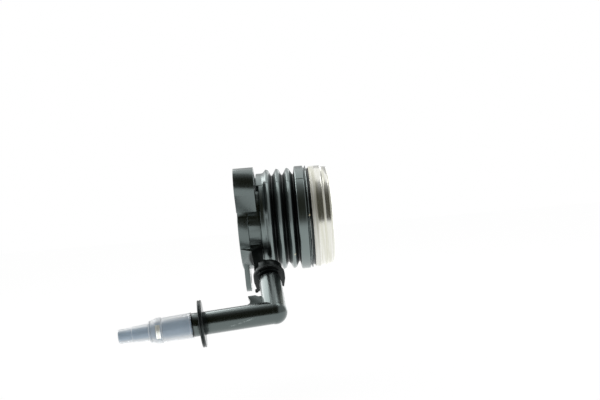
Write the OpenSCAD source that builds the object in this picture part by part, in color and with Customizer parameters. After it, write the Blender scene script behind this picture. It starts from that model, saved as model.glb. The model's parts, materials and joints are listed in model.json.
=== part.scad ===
// Concentric clutch slave cylinder with its release bearing, inlet elbow and line connector.
// The X axis is the gearbox input shaft and points to the clutch. The base face lies at x = 0.
// Z points up as the part is seen from the side, and the inlet hangs below on the -Y side.

/* [Pressure cylinder] */
// Radius of the bore that the input shaft passes through
shaft_r = 15; // [14:0.1:16]
// Wall of the steel guide tube
tube_wall = 1.2; // [0.8:0.1:1.6]
// Length of the guide tube in front of the piston's stop ring
tube_lip = 2.3; // [1.5:0.1:3.5]
// Radial width of the pressure chamber
chamber_w = 4.8; // [4.2:0.1:5.4]
// Wall of the cylinder that the piston slides in
cylinder_wall = 2.6; // [2:0.1:3.2]
// Length of the cylinder wall in front of the base face
cylinder_len = 26; // [24:0.1:26.2]
// Thickness of the floor under the pressure chamber
chamber_floor = 5; // [4:0.1:5.6]

/* [Housing] */
// Thickness of the base plate
plate_t = 6.4; // [5.5:0.1:7.5]
// Width of the rim of the base plate around the body
plate_rim = 3; // [2.5:0.1:4]
// Height of the body that the boot is clipped on, from the base face
body_h = 16; // [15.6:0.1:17]
// Drop from the front of the body to the face of the two thick lugs
lug_drop = 4; // [3.9:0.1:7]
// Thickness of the thin fixing lug
thin_lug_t = 3.2; // [2.6:0.1:4.6]
// Distance that the thin lug is set back from the base face
thin_lug_set = 1; // [0:0.1:1.6]
// Radius of the bolt circle
bolt_circle_r = 36; // [35:0.1:38]
// Outer radius of a thick lug round its bolt
thick_lug_r = 11; // [9:0.1:12]
// Outer radius of the thin lug round its bolt
thin_lug_r = 8; // [7:0.1:9]
// Radius of the bolt holes in the bushes
bolt_hole_r = 3.3; // [2.8:0.1:3.6]
// Wall of the steel bushes in the lugs
bush_wall = 1.1; // [0.8:0.1:1.5]

/* [Dust boot and preload spring] */
// Diameter of the spring wire
wire_d = 2; // [1.6:0.1:2.1]
// Turns of the spring between its two seats
spring_turns = 5; // [4:1:5]
// Wall of the rubber boot at its roots
boot_wall = 1; // [0.8:0.1:1.2]
// Depth of the folds from crest to root
fold_depth = 4.2; // [3.6:0.1:4.8]
// Distance from one crest to the next
fold_pitch = 6.5; // [6.2:0.05:6.5]
// Number of folds
fold_count = 3; // [2:1:3]
// Length of the collar that grips the body
rear_collar_len = 3.7; // [3:0.1:3.8]
// Length that the collar gains where it overlaps the body, above the mould's parting line
collar_tab_len = 1.6; // [1:0.1:2]
// Radial wall of the collar that grips the body
rear_collar_wall = 2.7; // [2:0.1:3]
// Length of the collar that grips the bearing carrier
front_collar_len = 5.6; // [4.6:0.1:5.6]

/* [Piston and release bearing] */
// Travel of the bearing from the stop back towards the gearbox
travel = 11; // [8:0.5:11]
// Distance that the bearing can shift off the shaft axis, each way
float_play = 1; // [0.5:0.1:1.2]
// Radial wall of the hub on the piston's front end
hub_wall = 2.1; // [1.8:0.1:2.4]
// Length of the piston behind the bearing carrier
piston_skirt = 16.2; // [14:0.1:16.4]
// Radius of the bearing balls
ball_r = 3.175; // [2.8:0.025:3.3]
// Number of bearing balls
ball_count = 16; // [12:1:16]
// Wall of the inner ring under the balls
inner_ring_wall = 2.5; // [2.2:0.1:3]
// Wall of the outer ring round the balls
outer_ring_wall = 2.65; // [2.2:0.05:3]
// Length of the outer ring along the shaft
outer_ring_len = 12.8; // [12.6:0.1:14]

/* [Inlet port and elbow] */
// Angle of the inlet round the shaft, from straight up towards the near side
port_angle = 135; // [125:1:145]
// Lean of the inlet towards the bearing
port_lean = 5; // [3:0.5:6]
// Place on the shaft axis that the inlet points away from
port_foot_x = 12.4; // [11.5:0.1:12.6]
// Radius of the port's barrel
barrel_r = 8.4; // [8:0.1:9]
// Distance from the shaft axis to the barrel's shoulder under the clip
barrel_h = 45.2; // [44:0.1:47]
// Outer radius of the elbow's stub and pipe
pipe_r = 6.65; // [6:0.05:7]
// Bore radius of the elbow
pipe_bore_r = 2.6; // [2:0.1:3]
// Distance from the barrel's shoulder to the centre line of the pipe
stub_len = 28.9; // [25:0.1:34]
// Length of the pipe from the elbow's corner to the sealing disc
pipe_len = 41.2; // [34:0.1:50]
// Radius of the sealing disc on the pipe
disc_r = 13.5; // [11:0.1:15]
// Thickness of the sealing disc
disc_t = 2.4; // [2:0.1:3.5]
// Thickness of the flat U-shaped clip
clip_t = 1.5; // [1:0.1:2]
// Outer radius of the U-shaped clip
clip_r = 9.4; // [9.1:0.1:10.5]

/* [Line connector] */
// Length of the clear connector body
connector_len = 23.2; // [20:0.1:28]
// Radius of the connector body at its mouth
connector_r = 7.4; // [7:0.1:8]
// Radius of the connector body before its collar
connector_neck_r = 6.9; // [6.7:0.1:7]
// Length of the plug's nose that stands out of the connector
nose_len = 18.6; // [12:0.1:26]
// Radius of the nose at the connector
nose_root_r = 4.9; // [4.7:0.1:5.4]
// Radius of the nose at its end
nose_tip_r = 3.9; // [3.4:0.1:4.2]

/* [Hidden] */
$fn = 96;
round_fn = 48;
eps = 0.01;
fit_gap = 0.05;
seat_gap = 0.1;
wall_gap = 0.6;
edge = 0.4;
chamfer = 0.8;
overrun = 1;

ball_names = [for (i = [1:ball_count]) str("ball_", i < 10 ? "0" : "", i)];

// Radii from the shaft outwards
tube_r = shaft_r + tube_wall;
bore_r = tube_r + chamber_w;
cylinder_r = bore_r + cylinder_wall;
wire_r = wire_d / 2;
spring_r = cylinder_r + wall_gap + wire_r;
root_r = spring_r + wire_r + wall_gap + boot_wall;
crest_r = root_r + fold_depth;
boot_squeeze = 0.2;
body_r = root_r - boot_wall + boot_squeeze;
plate_r = body_r + plate_rim;
front_collar_r = crest_r + 0.5;
front_collar_wall = 1.3;
carrier_r = front_collar_r - front_collar_wall;
carrier_wall = 0.7;
pocket_r = carrier_r - carrier_wall;
float_reach = float_play * sqrt(2);
float_gap = 0.3;
flange_r = pocket_r - float_reach - float_gap;
hub_r = tube_r + hub_wall;
ring_bore_r = hub_r + float_reach + wall_gap;
ball_ring_r = ring_bore_r + inner_ring_wall + ball_r;
bearing_r = ball_ring_r + ball_r + outer_ring_wall;

// Places along the shaft
cylinder_end = cylinder_len;
travel_gap = 0.3;
carrier_x = cylinder_end + travel + travel_gap;
carrier_disc_t = 3.5;
pocket_x = carrier_x + carrier_disc_t;
boot_grip = 3.6;
boot_rear_x = body_h - boot_grip;
front_collar_lap = 0.6;
boot_front_x = carrier_x - front_collar_lap;
boot_end_x = boot_front_x + front_collar_len;
last_root_x = boot_front_x - 1.1;
last_fold_len = 3.5;
first_crest_x = last_root_x - last_fold_len - (fold_count - 1) * fold_pitch;
washer_x = pocket_x + seat_gap;
washer_t = 0.9;
flange_x = washer_x + washer_t + seat_gap;
flange_t = 1.1;
retainer_lip_x = flange_x + flange_t + seat_gap;
retainer_lip_t = 0.8;
seal_gap = 0.4;
seal_x = retainer_lip_x + retainer_lip_t + seal_gap;
seal_t = 0.9;
ring_gap = 0.2;
outer_ring_x = seal_x + seal_t + ring_gap;
ball_place = 5.9;
ball_x = outer_ring_x + ball_place;
bearing_end_x = outer_ring_x + outer_ring_len;
piston_rear_x = carrier_x - piston_skirt;
hub_gap = 0.7;
hub_end_x = outer_ring_x - hub_gap;
stop_x = hub_end_x + seat_gap;
stop_t = 1.4;
tube_end_x = stop_x + stop_t + tube_lip;
pitch_angle = 360 / ball_count;

// Fixing lugs: angle from +Y towards +Z, place, thickness and radius of each
lug_step = 120;
first_lug_angle = 142.5;
lug_angles = [for (i = [0:2]) first_lug_angle + i * lug_step];
thick_lug_t = body_h - lug_drop;
lug_sets = [0, thin_lug_set, 0];
lug_ts = [thick_lug_t, thin_lug_t, thick_lug_t];
lug_rs = [thick_lug_r, thin_lug_r, thick_lug_r];
lug_root_r = body_r - 4;
bush_r = bolt_hole_r + bush_wall;
lug_floor_z = 6.2;
slot_w = 3.2;
slot_depth = 3.2;

// Inlet port, measured outwards along its own axis
neck_r = 4.1;
spigot_r = 5;
socket_r = spigot_r + seat_gap;
socket_depth = 3.2;
barrel_len = 4.4;
barrel_root = barrel_h - barrel_len;
socket_floor = barrel_h - socket_depth;
clip_seat = barrel_h + seat_gap;
clip_top = clip_seat + clip_t;
barrel_lip = clip_top + seat_gap;
barrel_lip_t = 1.1;
barrel_end = barrel_lip + barrel_lip_t;
barrel_lip_r = barrel_r - 0.8;
lip_half_w = 5.4;
clip_inner_r = neck_r + 0.3;
clip_back_y = 2.6;
shoulder_gap = 0.8;
shoulder_h = barrel_end + shoulder_gap;
elbow_h = barrel_h + stub_len;
arm_w = 13;
arm_front_x = boot_rear_x + 1.2;
arm_head_front = 5;
arm_head_back = 8.1;
arm_sink = 6;
arm_clear_r = crest_r + 1.6;
port_ring_w = 1.8;
port_ring_depth = 1.1;
inlet_ring_z = socket_floor + 1.7;

// Line connector, measured from the elbow's corner along the pipe
disc_x = pipe_len;
disc_end = disc_x + disc_t;
disc_seat_depth = 1.2;
collar_len = 4.3;
collar_end = disc_end + collar_len;
collar_r = pipe_r + 0.15;
connector_x = collar_end + seat_gap;
connector_end = connector_x + connector_len;
dome_len = 6.5;
dome_x = connector_end - dome_len;
dome_r = connector_neck_r + 0.4;
spigot_tip_r = 4.4;
spigot_end = dome_x - 1.2;
line_bore_r = spigot_tip_r + seat_gap;
line_ring_place = 9;
line_ring_z = connector_x + line_ring_place;
window_len = 2.8;
window_w = 8;
window_x = dome_x + 0.9;
window_turn = 45;

black = "#202324";
rubber = "#3c4144";
steel = "#b9b9b2";
dark_steel = "#8b8d8c";
clear_blue = "#93a3b0";

// Turns a shape drawn about Z so that its Z lies along the shaft
module along_shaft() {
    rotate([0, 90, 0]) children();
}

// Revolves a profile of [radius, place along the shaft] points round the shaft
module turned(points) {
    along_shaft() rotate_extrude() polygon(points);
}

// A plain ring round the shaft
module ring(r_in, r_out, x0, x1) {
    turned([[r_in, x0], [r_out, x0], [r_out, x1], [r_in, x1]]);
}

// A round-section ring about the local Z axis
module torus(r, section_r, z) {
    translate([0, 0, z]) rotate_extrude() translate([r, 0]) circle(r = section_r, $fn = round_fn);
}

// Puts Z along the inlet's axis, with its origin on the shaft axis
module at_port() {
    translate([port_foot_x, 0, 0]) rotate([port_angle, 0, 0]) rotate([0, port_lean, 0]) children();
}

// Puts Z along the pipe, with its origin at the elbow's corner
module at_pipe() {
    at_port() translate([0, 0, elbow_h]) rotate([0, -90, 0]) children();
}

// A cylinder from z0 to z1 about the local Z axis
module bar(r, z0, z1) {
    translate([0, 0, z0]) cylinder(r = r, h = z1 - z0);
}

// A groove cut round a bar of radius r, for a seal whose middle lies at z
module seal_groove(r, z) {
    difference() {
        bar(r + overrun, z - port_ring_w / 2, z + port_ring_w / 2);
        bar(r - port_ring_depth, z - port_ring_w, z + port_ring_w);
    }
}

// A seal that fills its groove on a bar of radius r and touches a bore of radius bore
module groove_seal(r, bore, z) {
    touch = 0.02;
    half_w = port_ring_w / 2 - 0.15;
    translate([0, 0, z]) rotate_extrude() polygon([
        [r - port_ring_depth + touch, -half_w + fit_gap], [r - edge / 2, -half_w], [bore - touch, 0],
        [r - edge / 2, half_w], [r - port_ring_depth + touch, half_w - fit_gap]
    ]);
}

// Outline of a lug: a round end and two straight sides that leave a circle of radius root
function lug_lean(root, r) = asin((root - r) / bolt_circle_r);
module lug_outline(root, r) {
    lean = lug_lean(root, r);
    translate([bolt_circle_r, 0]) circle(r = r);
    polygon([
        [root * sin(lean), root * cos(lean)],
        [bolt_circle_r + r * sin(lean), r * cos(lean)],
        [bolt_circle_r + r * sin(lean), -r * cos(lean)],
        [root * sin(lean), -root * cos(lean)]
    ]);
}

// Turns a shape drawn with +X outwards to the angle of a lug, with its Z along the shaft
module at_lug(i) {
    translate([lug_sets[i], 0, 0]) rotate([lug_angles[i], 0, 0]) rotate([90, 0, 90]) children();
}

module lug(i) {
    at_lug(i) linear_extrude(height = lug_ts[i]) lug_outline(lug_root_r, lug_rs[i]);
}

// The near lug ends in a flat face above a slot in the rim of the plate
module near_lug() {
    reach = bolt_circle_r + thick_lug_r + overrun;
    difference() {
        lug(0);
        translate([-overrun, -reach, lug_floor_z - reach]) cube([thick_lug_t + 2 * overrun, reach, reach]);
    }
}

// Side profile of the arm that carries the oil from the body out to the port
module port_arm() {
    arm_lap = 2.4;
    top = barrel_root + arm_lap;
    heel_x = plate_t + wall_gap;
    head_x = port_foot_x + top * tan(port_lean);
    front_x = head_x + arm_head_front;
    back_x = head_x - arm_head_back;
    deep_r = body_r - arm_sink;
    difference() {
        rotate([port_angle, 0, 0]) rotate([90, 0, 0])
            translate([0, 0, -arm_w / 2]) linear_extrude(height = arm_w) polygon([
                [wall_gap, deep_r], [arm_front_x, deep_r], [arm_front_x, barrel_root - arm_lap],
                [front_x, barrel_root + wall_gap], [front_x, top], [back_x, top], [heel_x, arm_clear_r],
                [heel_x, plate_r + 1.5], [wall_gap, plate_r - 0.5]
            ]);
        ring(body_r - eps, body_r + rear_collar_wall + edge, boot_rear_x - fit_gap, arm_front_x + overrun);
    }
}

module oil_passage() {
    start_r = bore_r - 2;
    end_r = socket_floor + 0.8;
    start_x = chamber_floor + 2.2;
    end_x = port_foot_x + end_r * tan(port_lean) - 2.4;
    lean = atan2(end_x - start_x, end_r - start_r);
    rotate([port_angle, 0, 0]) translate([start_x, 0, start_r]) rotate([0, lean, 0])
        cylinder(r = 1.1, h = (end_r - start_r) / cos(lean), $fn = round_fn);
}

tube_flange_r = body_r - 3.4;
tube_flange_t = 1.2;
face_seal_wire = 2;
face_groove_w = 1.1 * face_seal_wire;
face_ring_r = tube_flange_r + face_groove_w;
tube_ring_x = 3.2;
tube_ring_len = 2;
tube_seal_wire = 1.8;

module housing() {
    bush_clear_r = bush_r + fit_gap;
    color(black) difference() {
        union() {
            turned([
                [tube_r + fit_gap, 0], [plate_r - edge, 0], [plate_r, edge], [plate_r, plate_t - edge],
                [plate_r - edge, plate_t], [body_r, plate_t], [body_r, body_h], [cylinder_r, body_h],
                [cylinder_r, cylinder_end - chamfer], [cylinder_r - chamfer, cylinder_end],
                [tube_r + fit_gap, cylinder_end]
            ]);
            near_lug();
            lug(1);
            lug(2);
            port_arm();
            at_port() bar(barrel_r, barrel_root, barrel_h);
            at_port() bar(barrel_lip_r, barrel_h - eps, clip_top + eps);
            at_port() intersection() {
                bar(barrel_lip_r, barrel_h, barrel_end);
                translate([-lip_half_w, -barrel_r, barrel_h]) cube([2 * lip_half_w, 2 * barrel_r, barrel_end]);
            }
        }
        // Bore round the guide tube, and the pressure chamber with a chamfer at its mouth
        along_shaft() bar(tube_r + fit_gap, -overrun, cylinder_end + overrun);
        ring(tube_r - overrun, bore_r, chamber_floor, cylinder_end + overrun);
        turned([
            [bore_r - eps, cylinder_end - chamfer], [bore_r + chamfer, cylinder_end + eps],
            [bore_r + chamfer, cylinder_end + overrun], [bore_r - eps, cylinder_end + overrun]
        ]);
        // Recess for the flange of the guide tube, its seal and the seal of the base face
        ring(tube_r - overrun, tube_flange_r + seat_gap, -overrun, tube_flange_t + eps);
        ring(tube_r - overrun, tube_r + tube_seal_wire, tube_ring_x - tube_ring_len / 2,
            tube_ring_x + tube_ring_len / 2);
        ring(face_ring_r - face_groove_w / 2, face_ring_r + face_groove_w / 2, -overrun,
            face_seal_wire + seat_gap);
        for (i = [0:2]) at_lug(i) translate([bolt_circle_r, 0, -overrun])
            cylinder(r = bush_clear_r, h = lug_ts[i] + 2 * overrun);
        translate([-overrun, -plate_r - overrun, lug_floor_z - slot_w])
            cube([plate_t + 2 * overrun, slot_depth + overrun, slot_w]);
        // Socket of the inlet, the slots for its clip and the drilling to the chamber
        at_port() bar(socket_r, socket_floor, barrel_end + overrun);
        for (side = [0, 1]) at_port() mirror([side, 0, 0])
            translate([clip_inner_r - seat_gap, -barrel_r - overrun, clip_seat - seat_gap])
                cube([barrel_r, barrel_r + overrun + clip_back_y + seat_gap, clip_t + 2 * seat_gap]);
        oil_passage();
    }
}

module guide_tube() {
    lead_in = 0.5;
    color(steel) difference() {
        turned([
            [shaft_r, 0], [tube_flange_r, 0], [tube_flange_r, tube_flange_t], [tube_r, tube_flange_t],
            [tube_r, tube_end_x - lead_in], [tube_r - lead_in, tube_end_x], [shaft_r, tube_end_x]
        ]);
        ring(tube_r - stop_groove, tube_r + overrun, stop_x - fit_gap, stop_x + stop_t + fit_gap);
    }
}

module tube_o_ring() {
    half_w = tube_ring_len / 2 - 0.3;
    r_in = tube_r + seat_gap;
    r_out = tube_r + tube_seal_wire - fit_gap;
    color(black) turned([
        [r_in, tube_ring_x - half_w], [r_out - edge / 2, tube_ring_x - half_w], [r_out, tube_ring_x],
        [r_out - edge / 2, tube_ring_x + half_w], [r_in, tube_ring_x + half_w]
    ]);
}

module base_o_ring() {
    color(black) along_shaft() torus(face_ring_r, face_seal_wire / 2, face_seal_wire / 2);
}

module mount_bush(i) {
    color(steel) at_lug(i) translate([bolt_circle_r, 0, 0]) difference() {
        cylinder(r = bush_r, h = lug_ts[i]);
        translate([0, 0, -overrun]) cylinder(r = bolt_hole_r, h = lug_ts[i] + 2 * overrun);
    }
}

stop_groove = 0.5;
stop_ring_mouth = 5;
module stop_ring() {
    color(dark_steel) difference() {
        ring(tube_r - stop_groove + seat_gap, hub_r + edge, stop_x, stop_x + stop_t);
        translate([stop_x - overrun, -stop_ring_mouth / 2, tube_r - stop_groove - overrun])
            cube([stop_t + 2 * overrun, stop_ring_mouth, hub_r - tube_r + 4 * overrun]);
    }
}

// The seal hooks over a foot at the rear of the piston
foot_wall = 1.2;
foot_neck = 0.7;
foot_t = 1.2;
foot_len = 1.6;
module piston() {
    inner = tube_r + fit_gap;
    outer = bore_r - fit_gap;
    seat = piston_rear_x + foot_len;
    color(black) turned([
        [inner, piston_rear_x], [inner + foot_wall, piston_rear_x], [inner + foot_wall, piston_rear_x + foot_t],
        [inner + foot_neck, seat], [outer, seat], [outer, carrier_x], [hub_r, carrier_x + travel_gap],
        [hub_r, hub_end_x - edge], [hub_r - edge, hub_end_x], [inner, hub_end_x]
    ]);
}

seal_len = 4;
seal_lip_w = 0.7;
seal_groove_len = 1.6;
seal_lip_root = 1.7;
module piston_seal() {
    touch = 0.02;
    inner = tube_r + touch;
    outer = bore_r - touch;
    hook_r = inner + foot_wall + 0.15;
    x1 = piston_rear_x + foot_len - fit_gap;
    x0 = x1 - seal_len;
    hook_x = piston_rear_x - 0.2;
    color(rubber) turned([
        [inner, x0], [inner + seal_lip_w, x0], [inner + seal_lip_root, x0 + seal_groove_len],
        [outer - seal_lip_root, x0 + seal_groove_len], [outer - seal_lip_w, x0], [outer, x0],
        [outer, x1 - edge], [outer - edge, x1], [hook_r, x1], [hook_r, hook_x], [inner, hook_x]
    ]);
}

// Centre of the spring wire along the shaft after a number of turns, with one dead turn at each end
spring_seat = 0.02;
spring_x0 = body_h + wire_r + spring_seat;
spring_x1 = carrier_x - wire_r - spring_seat;
dead_pitch = wire_d * 1.04;
live_pitch = (spring_x1 - spring_x0 - 2 * dead_pitch) / (spring_turns - 2);
function wire_x(t) = t < 1 ? spring_x0 + dead_pitch * t
    : t > spring_turns - 1 ? spring_x1 - dead_pitch * (spring_turns - t)
    : spring_x0 + dead_pitch + live_pitch * (t - 1);
spring_sides = 8;
spring_steps = 24;

module preload_spring() {
    rings = spring_turns * spring_steps;
    points = [
        for (k = [0:rings], j = [0:spring_sides - 1])
            let (t = k / spring_steps, a = 360 * t, b = 360 * j / spring_sides, r = spring_r + wire_r * cos(b))
                [wire_x(t) + wire_r * sin(b), r * cos(a), r * sin(a)]
    ];
    sides = [
        for (k = [0:rings - 1], j = [0:spring_sides - 1])
            let (n = (j + 1) % spring_sides, p = k * spring_sides)
                [p + j, p + n, p + spring_sides + n, p + spring_sides + j]
    ];
    first = [for (j = [spring_sides - 1:-1:0]) j];
    last = [for (j = [0:spring_sides - 1]) rings * spring_sides + j];
    color(dark_steel) polyhedron(points = points, faces = concat(sides, [first], [last]));
}

// Each fold has a sharp rear crest that slopes over a short land; each root has a narrow flat
crest_land = 1.4;
crest_drop = 0.8;
root_flat = 0.7;
inner_drop = 1.4;
collar_tab_angle = 86;
module dust_boot() {
    collar_r = body_r + rear_collar_wall;
    grip_r = body_r + fit_gap;
    tab_in_r = grip_r + fit_gap;
    tab_out_r = collar_r - fit_gap;
    lip_x = boot_rear_x + collar_tab_len;
    flare_x = boot_rear_x + rear_collar_len;
    crests = [for (i = [0:fold_count - 1]) first_crest_x + i * fold_pitch];
    roots = [for (i = [0:fold_count - 1]) i < fold_count - 1 ? crests[i] + fold_pitch / 2 : last_root_x];
    outer_folds = [
        for (i = [0:fold_count - 1], p = [
            [crest_r, crests[i] - crest_land / 4], [crest_r - crest_drop, crests[i] + crest_land],
            [root_r, roots[i] - root_flat / 2], [root_r, roots[i] + root_flat / 2]
        ]) p
    ];
    inner_folds = [
        for (i = [fold_count - 1:-1:0], p = [
            [root_r - boot_wall, roots[i] + root_flat / 2], [root_r - boot_wall, roots[i] - root_flat / 2],
            [crest_r - inner_drop - crest_drop, crests[i] + crest_land / 2],
            [crest_r - inner_drop, crests[i] - crest_land / 4]
        ]) p
    ];
    color(rubber) {
        turned(concat(
            [[grip_r, lip_x], [collar_r, lip_x], [collar_r, flare_x], [collar_r + edge, flare_x + 1]],
            outer_folds,
            [[front_collar_r - edge, boot_front_x], [front_collar_r, boot_front_x + edge],
             [front_collar_r, boot_end_x - edge], [front_collar_r - edge, boot_end_x],
             [carrier_r + fit_gap, boot_end_x], [carrier_r + fit_gap, boot_front_x + edge]],
            inner_folds,
            [[grip_r, flare_x]]
        ));
        rotate([180 - collar_tab_angle / 2, 0, 0]) along_shaft() rotate_extrude(angle = collar_tab_angle)
            polygon([[tab_in_r, boot_rear_x], [tab_out_r - edge, boot_rear_x], [tab_out_r, boot_rear_x + edge],
                [tab_out_r, lip_x + edge], [tab_in_r, lip_x + edge]]);
    }
}

module bearing_carrier() {
    face_x = pocket_x;
    rim_x = boot_end_x + fit_gap;
    color(black) turned([
        [hub_r + fit_gap, carrier_x + edge], [bore_r - 0.2, carrier_x + fit_gap],
        [spring_r - wire_r - edge, carrier_x], [carrier_r, carrier_x], [carrier_r, rim_x],
        [pocket_r, rim_x], [pocket_r, face_x], [hub_r + fit_gap, face_x]
    ]);
}

module bearing_retainer() {
    lip_in = flange_r - float_reach - 0.5;
    step_x = boot_end_x + seat_gap;
    lip_end_x = retainer_lip_x + retainer_lip_t;
    color(black) turned([
        [pocket_r + 0.02, step_x], [carrier_r - seat_gap, step_x], [carrier_r - seat_gap, retainer_lip_x],
        [front_collar_r - edge, retainer_lip_x + edge / 2], [front_collar_r - seat_gap, lip_end_x],
        [lip_in, lip_end_x], [lip_in, retainer_lip_x], [pocket_r + 0.02, retainer_lip_x]
    ]);
}

washer_notch_w = 4;
washer_notch_depth = 2.5;
module centring_washer() {
    r_in = hub_r + float_play + wall_gap;
    r_out = pocket_r - float_play - chamfer;
    color(dark_steel) difference() {
        ring(r_in, r_out, washer_x, washer_x + washer_t);
        for (a = [0:60:300]) rotate([a, 0, 0])
            translate([washer_x - overrun, -washer_notch_w / 2, r_out - washer_notch_depth])
                cube([washer_t + 2 * overrun, washer_notch_w, washer_notch_depth + overrun]);
    }
}

// Depths of the ball groove's shoulders and the length of the inner ring in front of the balls
shoulder_drop = 1.1;
groove_drop = 2.8;
inner_ring_front = 4.2;
race_gap = 0.1;
module bearing_inner_ring() {
    shoulder_r = ball_ring_r - shoulder_drop;
    inner_r = ring_bore_r + inner_ring_wall;
    color(steel) difference() {
        turned([
            [ring_bore_r, flange_x], [flange_r, flange_x], [flange_r, flange_x + flange_t],
            [shoulder_r, flange_x + flange_t], [shoulder_r, ball_x - groove_drop],
            [ball_ring_r - groove_drop, ball_x - 1], [inner_r, ball_x], [inner_r, ball_x + inner_ring_front],
            [ring_bore_r, ball_x + inner_ring_front]
        ]);
        along_shaft() torus(ball_ring_r, ball_r + race_gap, ball_x);
    }
}

seal_rim_drop = 1.2;
seal_lip_drop = 0.9;
lip_w = 0.8;
lip_len = 1.4;
module bearing_rear_seal() {
    seat_r = ball_ring_r - shoulder_drop + fit_gap;
    rim_r = bearing_r - seal_rim_drop;
    lip_r = rim_r - seal_lip_drop;
    seal_end = seal_x + seal_t;
    color(rubber) turned([
        [seat_r, seal_x], [rim_r, seal_x], [rim_r, seal_end], [lip_r, seal_end],
        [lip_r - seat_gap, seal_end + lip_len], [lip_r - lip_w + seat_gap, seal_end + lip_len],
        [lip_r - lip_w, seal_end], [seat_r, seal_end]
    ]);
}

cage_in = 0.9;
cage_out = 1.1;
cage_back = 1.2;
cage_front = 3.7;
module bearing_cage() {
    pocket_len = 6 * cage_in;
    color(black) difference() {
        ring(ball_ring_r - cage_in, ball_ring_r + cage_out, ball_x - cage_back, ball_x + cage_front);
        for (i = [0:ball_count - 1]) rotate([i * pitch_angle - 90, 0, 0])
            translate([ball_x, 0, ball_ring_r - pocket_len / 2])
                cylinder(r = ball_r + race_gap, h = pocket_len, $fn = round_fn);
    }
}

module ball(i) {
    color(steel) rotate([i * pitch_angle, 0, 0]) translate([ball_x, ball_ring_r, 0])
        sphere(r = ball_r, $fn = round_fn);
}

// Outer ring: a tapered rear, a land, a step and a round nose that bears on the clutch's fingers
ring_taper_len = 3.1;
ring_land_len = 4;
step_len = 1.1;
step_drop = 0.9;
step_land_len = 2.5;
ring_wall = 1.5;
rim_wall = 2;
cavity_gap = 1.5;
cavity_front = 3.1;
step_r = bearing_r - step_drop;
nose_in_r = ring_bore_r + 0.7;
apex_r = bearing_r - 5.6;
nose_x = outer_ring_x + ring_taper_len + ring_land_len + step_len + step_land_len;
nose_h = bearing_end_x - nose_x;
dish_h = 0.9;
nose_steps = 9;
nose = [
    for (i = [1:nose_steps])
        let (a = 90 * i / nose_steps) [apex_r + (step_r - apex_r) * cos(a), nose_x + nose_h * sin(a)]
];

module bearing_outer_ring() {
    x0 = outer_ring_x;
    land_x = x0 + ring_taper_len;
    land_end = land_x + ring_land_len;
    cavity_r = ball_ring_r + cage_out + cavity_gap;
    face_x = bearing_end_x - ring_wall;
    color(steel) difference() {
        turned(concat(
            [[bearing_r - rim_wall, x0], [bearing_r - edge, x0], [bearing_r, land_x], [bearing_r, land_end],
             [step_r, land_end + step_len], [step_r, nose_x]],
            nose,
            [[nose_in_r, bearing_end_x - dish_h], [nose_in_r, face_x], [ball_ring_r - 1, face_x],
             [cavity_r, ball_x + cavity_front], [cavity_r, ball_x - 1], [bearing_r - rim_wall, ball_x - 2.6]]
        ));
        along_shaft() torus(ball_ring_r, ball_r + race_gap, ball_x);
    }
}

module bearing_front_shield() {
    shield_t = 0.5;
    shield_len = 1.3;
    r_out = nose_in_r - 0.02;
    end_x = bearing_end_x - dish_h + seat_gap;
    color(dark_steel) ring(r_out - shield_t, r_out, end_x - shield_len, end_x);
}

corner_swell = 0.3;
module inlet_elbow() {
    color(black) difference() {
        union() {
            at_port() bar(spigot_r, socket_floor + ring_gap, clip_seat - fit_gap);
            at_port() bar(neck_r, clip_seat - edge, clip_top + edge);
            at_port() bar(spigot_r, clip_top + fit_gap, shoulder_h + eps);
            at_port() translate([0, 0, shoulder_h]) cylinder(r1 = pipe_r - chamfer, r2 = pipe_r, h = chamfer);
            at_port() bar(pipe_r, shoulder_h + chamfer - eps, elbow_h);
            at_port() translate([0, 0, elbow_h]) sphere(r = pipe_r + corner_swell);
            at_pipe() bar(pipe_r, 0, disc_x);
            at_pipe() bar(pipe_r - disc_seat_depth, disc_x - eps, disc_end + eps);
            at_pipe() bar(collar_r, disc_end, collar_end);
            at_pipe() bar(spigot_tip_r, collar_end - eps, spigot_end);
            elbow_tab();
        }
        at_port() bar(pipe_bore_r, socket_floor - overrun, elbow_h);
        at_port() translate([0, 0, elbow_h]) sphere(r = pipe_bore_r);
        at_pipe() bar(pipe_bore_r, 0, spigot_end + overrun);
        at_port() seal_groove(spigot_r, inlet_ring_z);
        at_pipe() seal_groove(spigot_tip_r, line_ring_z);
    }
}

// Stiffening tab in the inner corner, with a nick in its free edge
tab_len = 7.6;
tab_h = 7.1;
tab_t = 2.4;
tab_foot = 3;
tab_root_rise = 1.2;
tab_root_len = 1.5;
tab_root_end = 3.4;
tab_nick = 0.9;
module elbow_tab() {
    pipe_top = elbow_h - pipe_r;
    root = pipe_top - tab_h;
    end = -pipe_r - tab_len;
    at_port() rotate([90, 0, 0]) translate([0, 0, -tab_t / 2]) linear_extrude(height = tab_t) polygon([
        [0, root + tab_root_rise], [-pipe_r - tab_root_len, root + tab_root_rise], [-pipe_r - tab_root_end, root],
        [end, root], [end, root + tab_nick], [end + tab_nick, root + 4 * tab_nick],
        [end + tab_nick / 2, pipe_top - 2 * tab_nick], [end - tab_foot, pipe_top + edge],
        [end - tab_foot, elbow_h], [0, elbow_h]
    ]);
}

module inlet_o_ring() {
    color(rubber) at_port() groove_seal(spigot_r, socket_r, inlet_ring_z);
}

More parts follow.
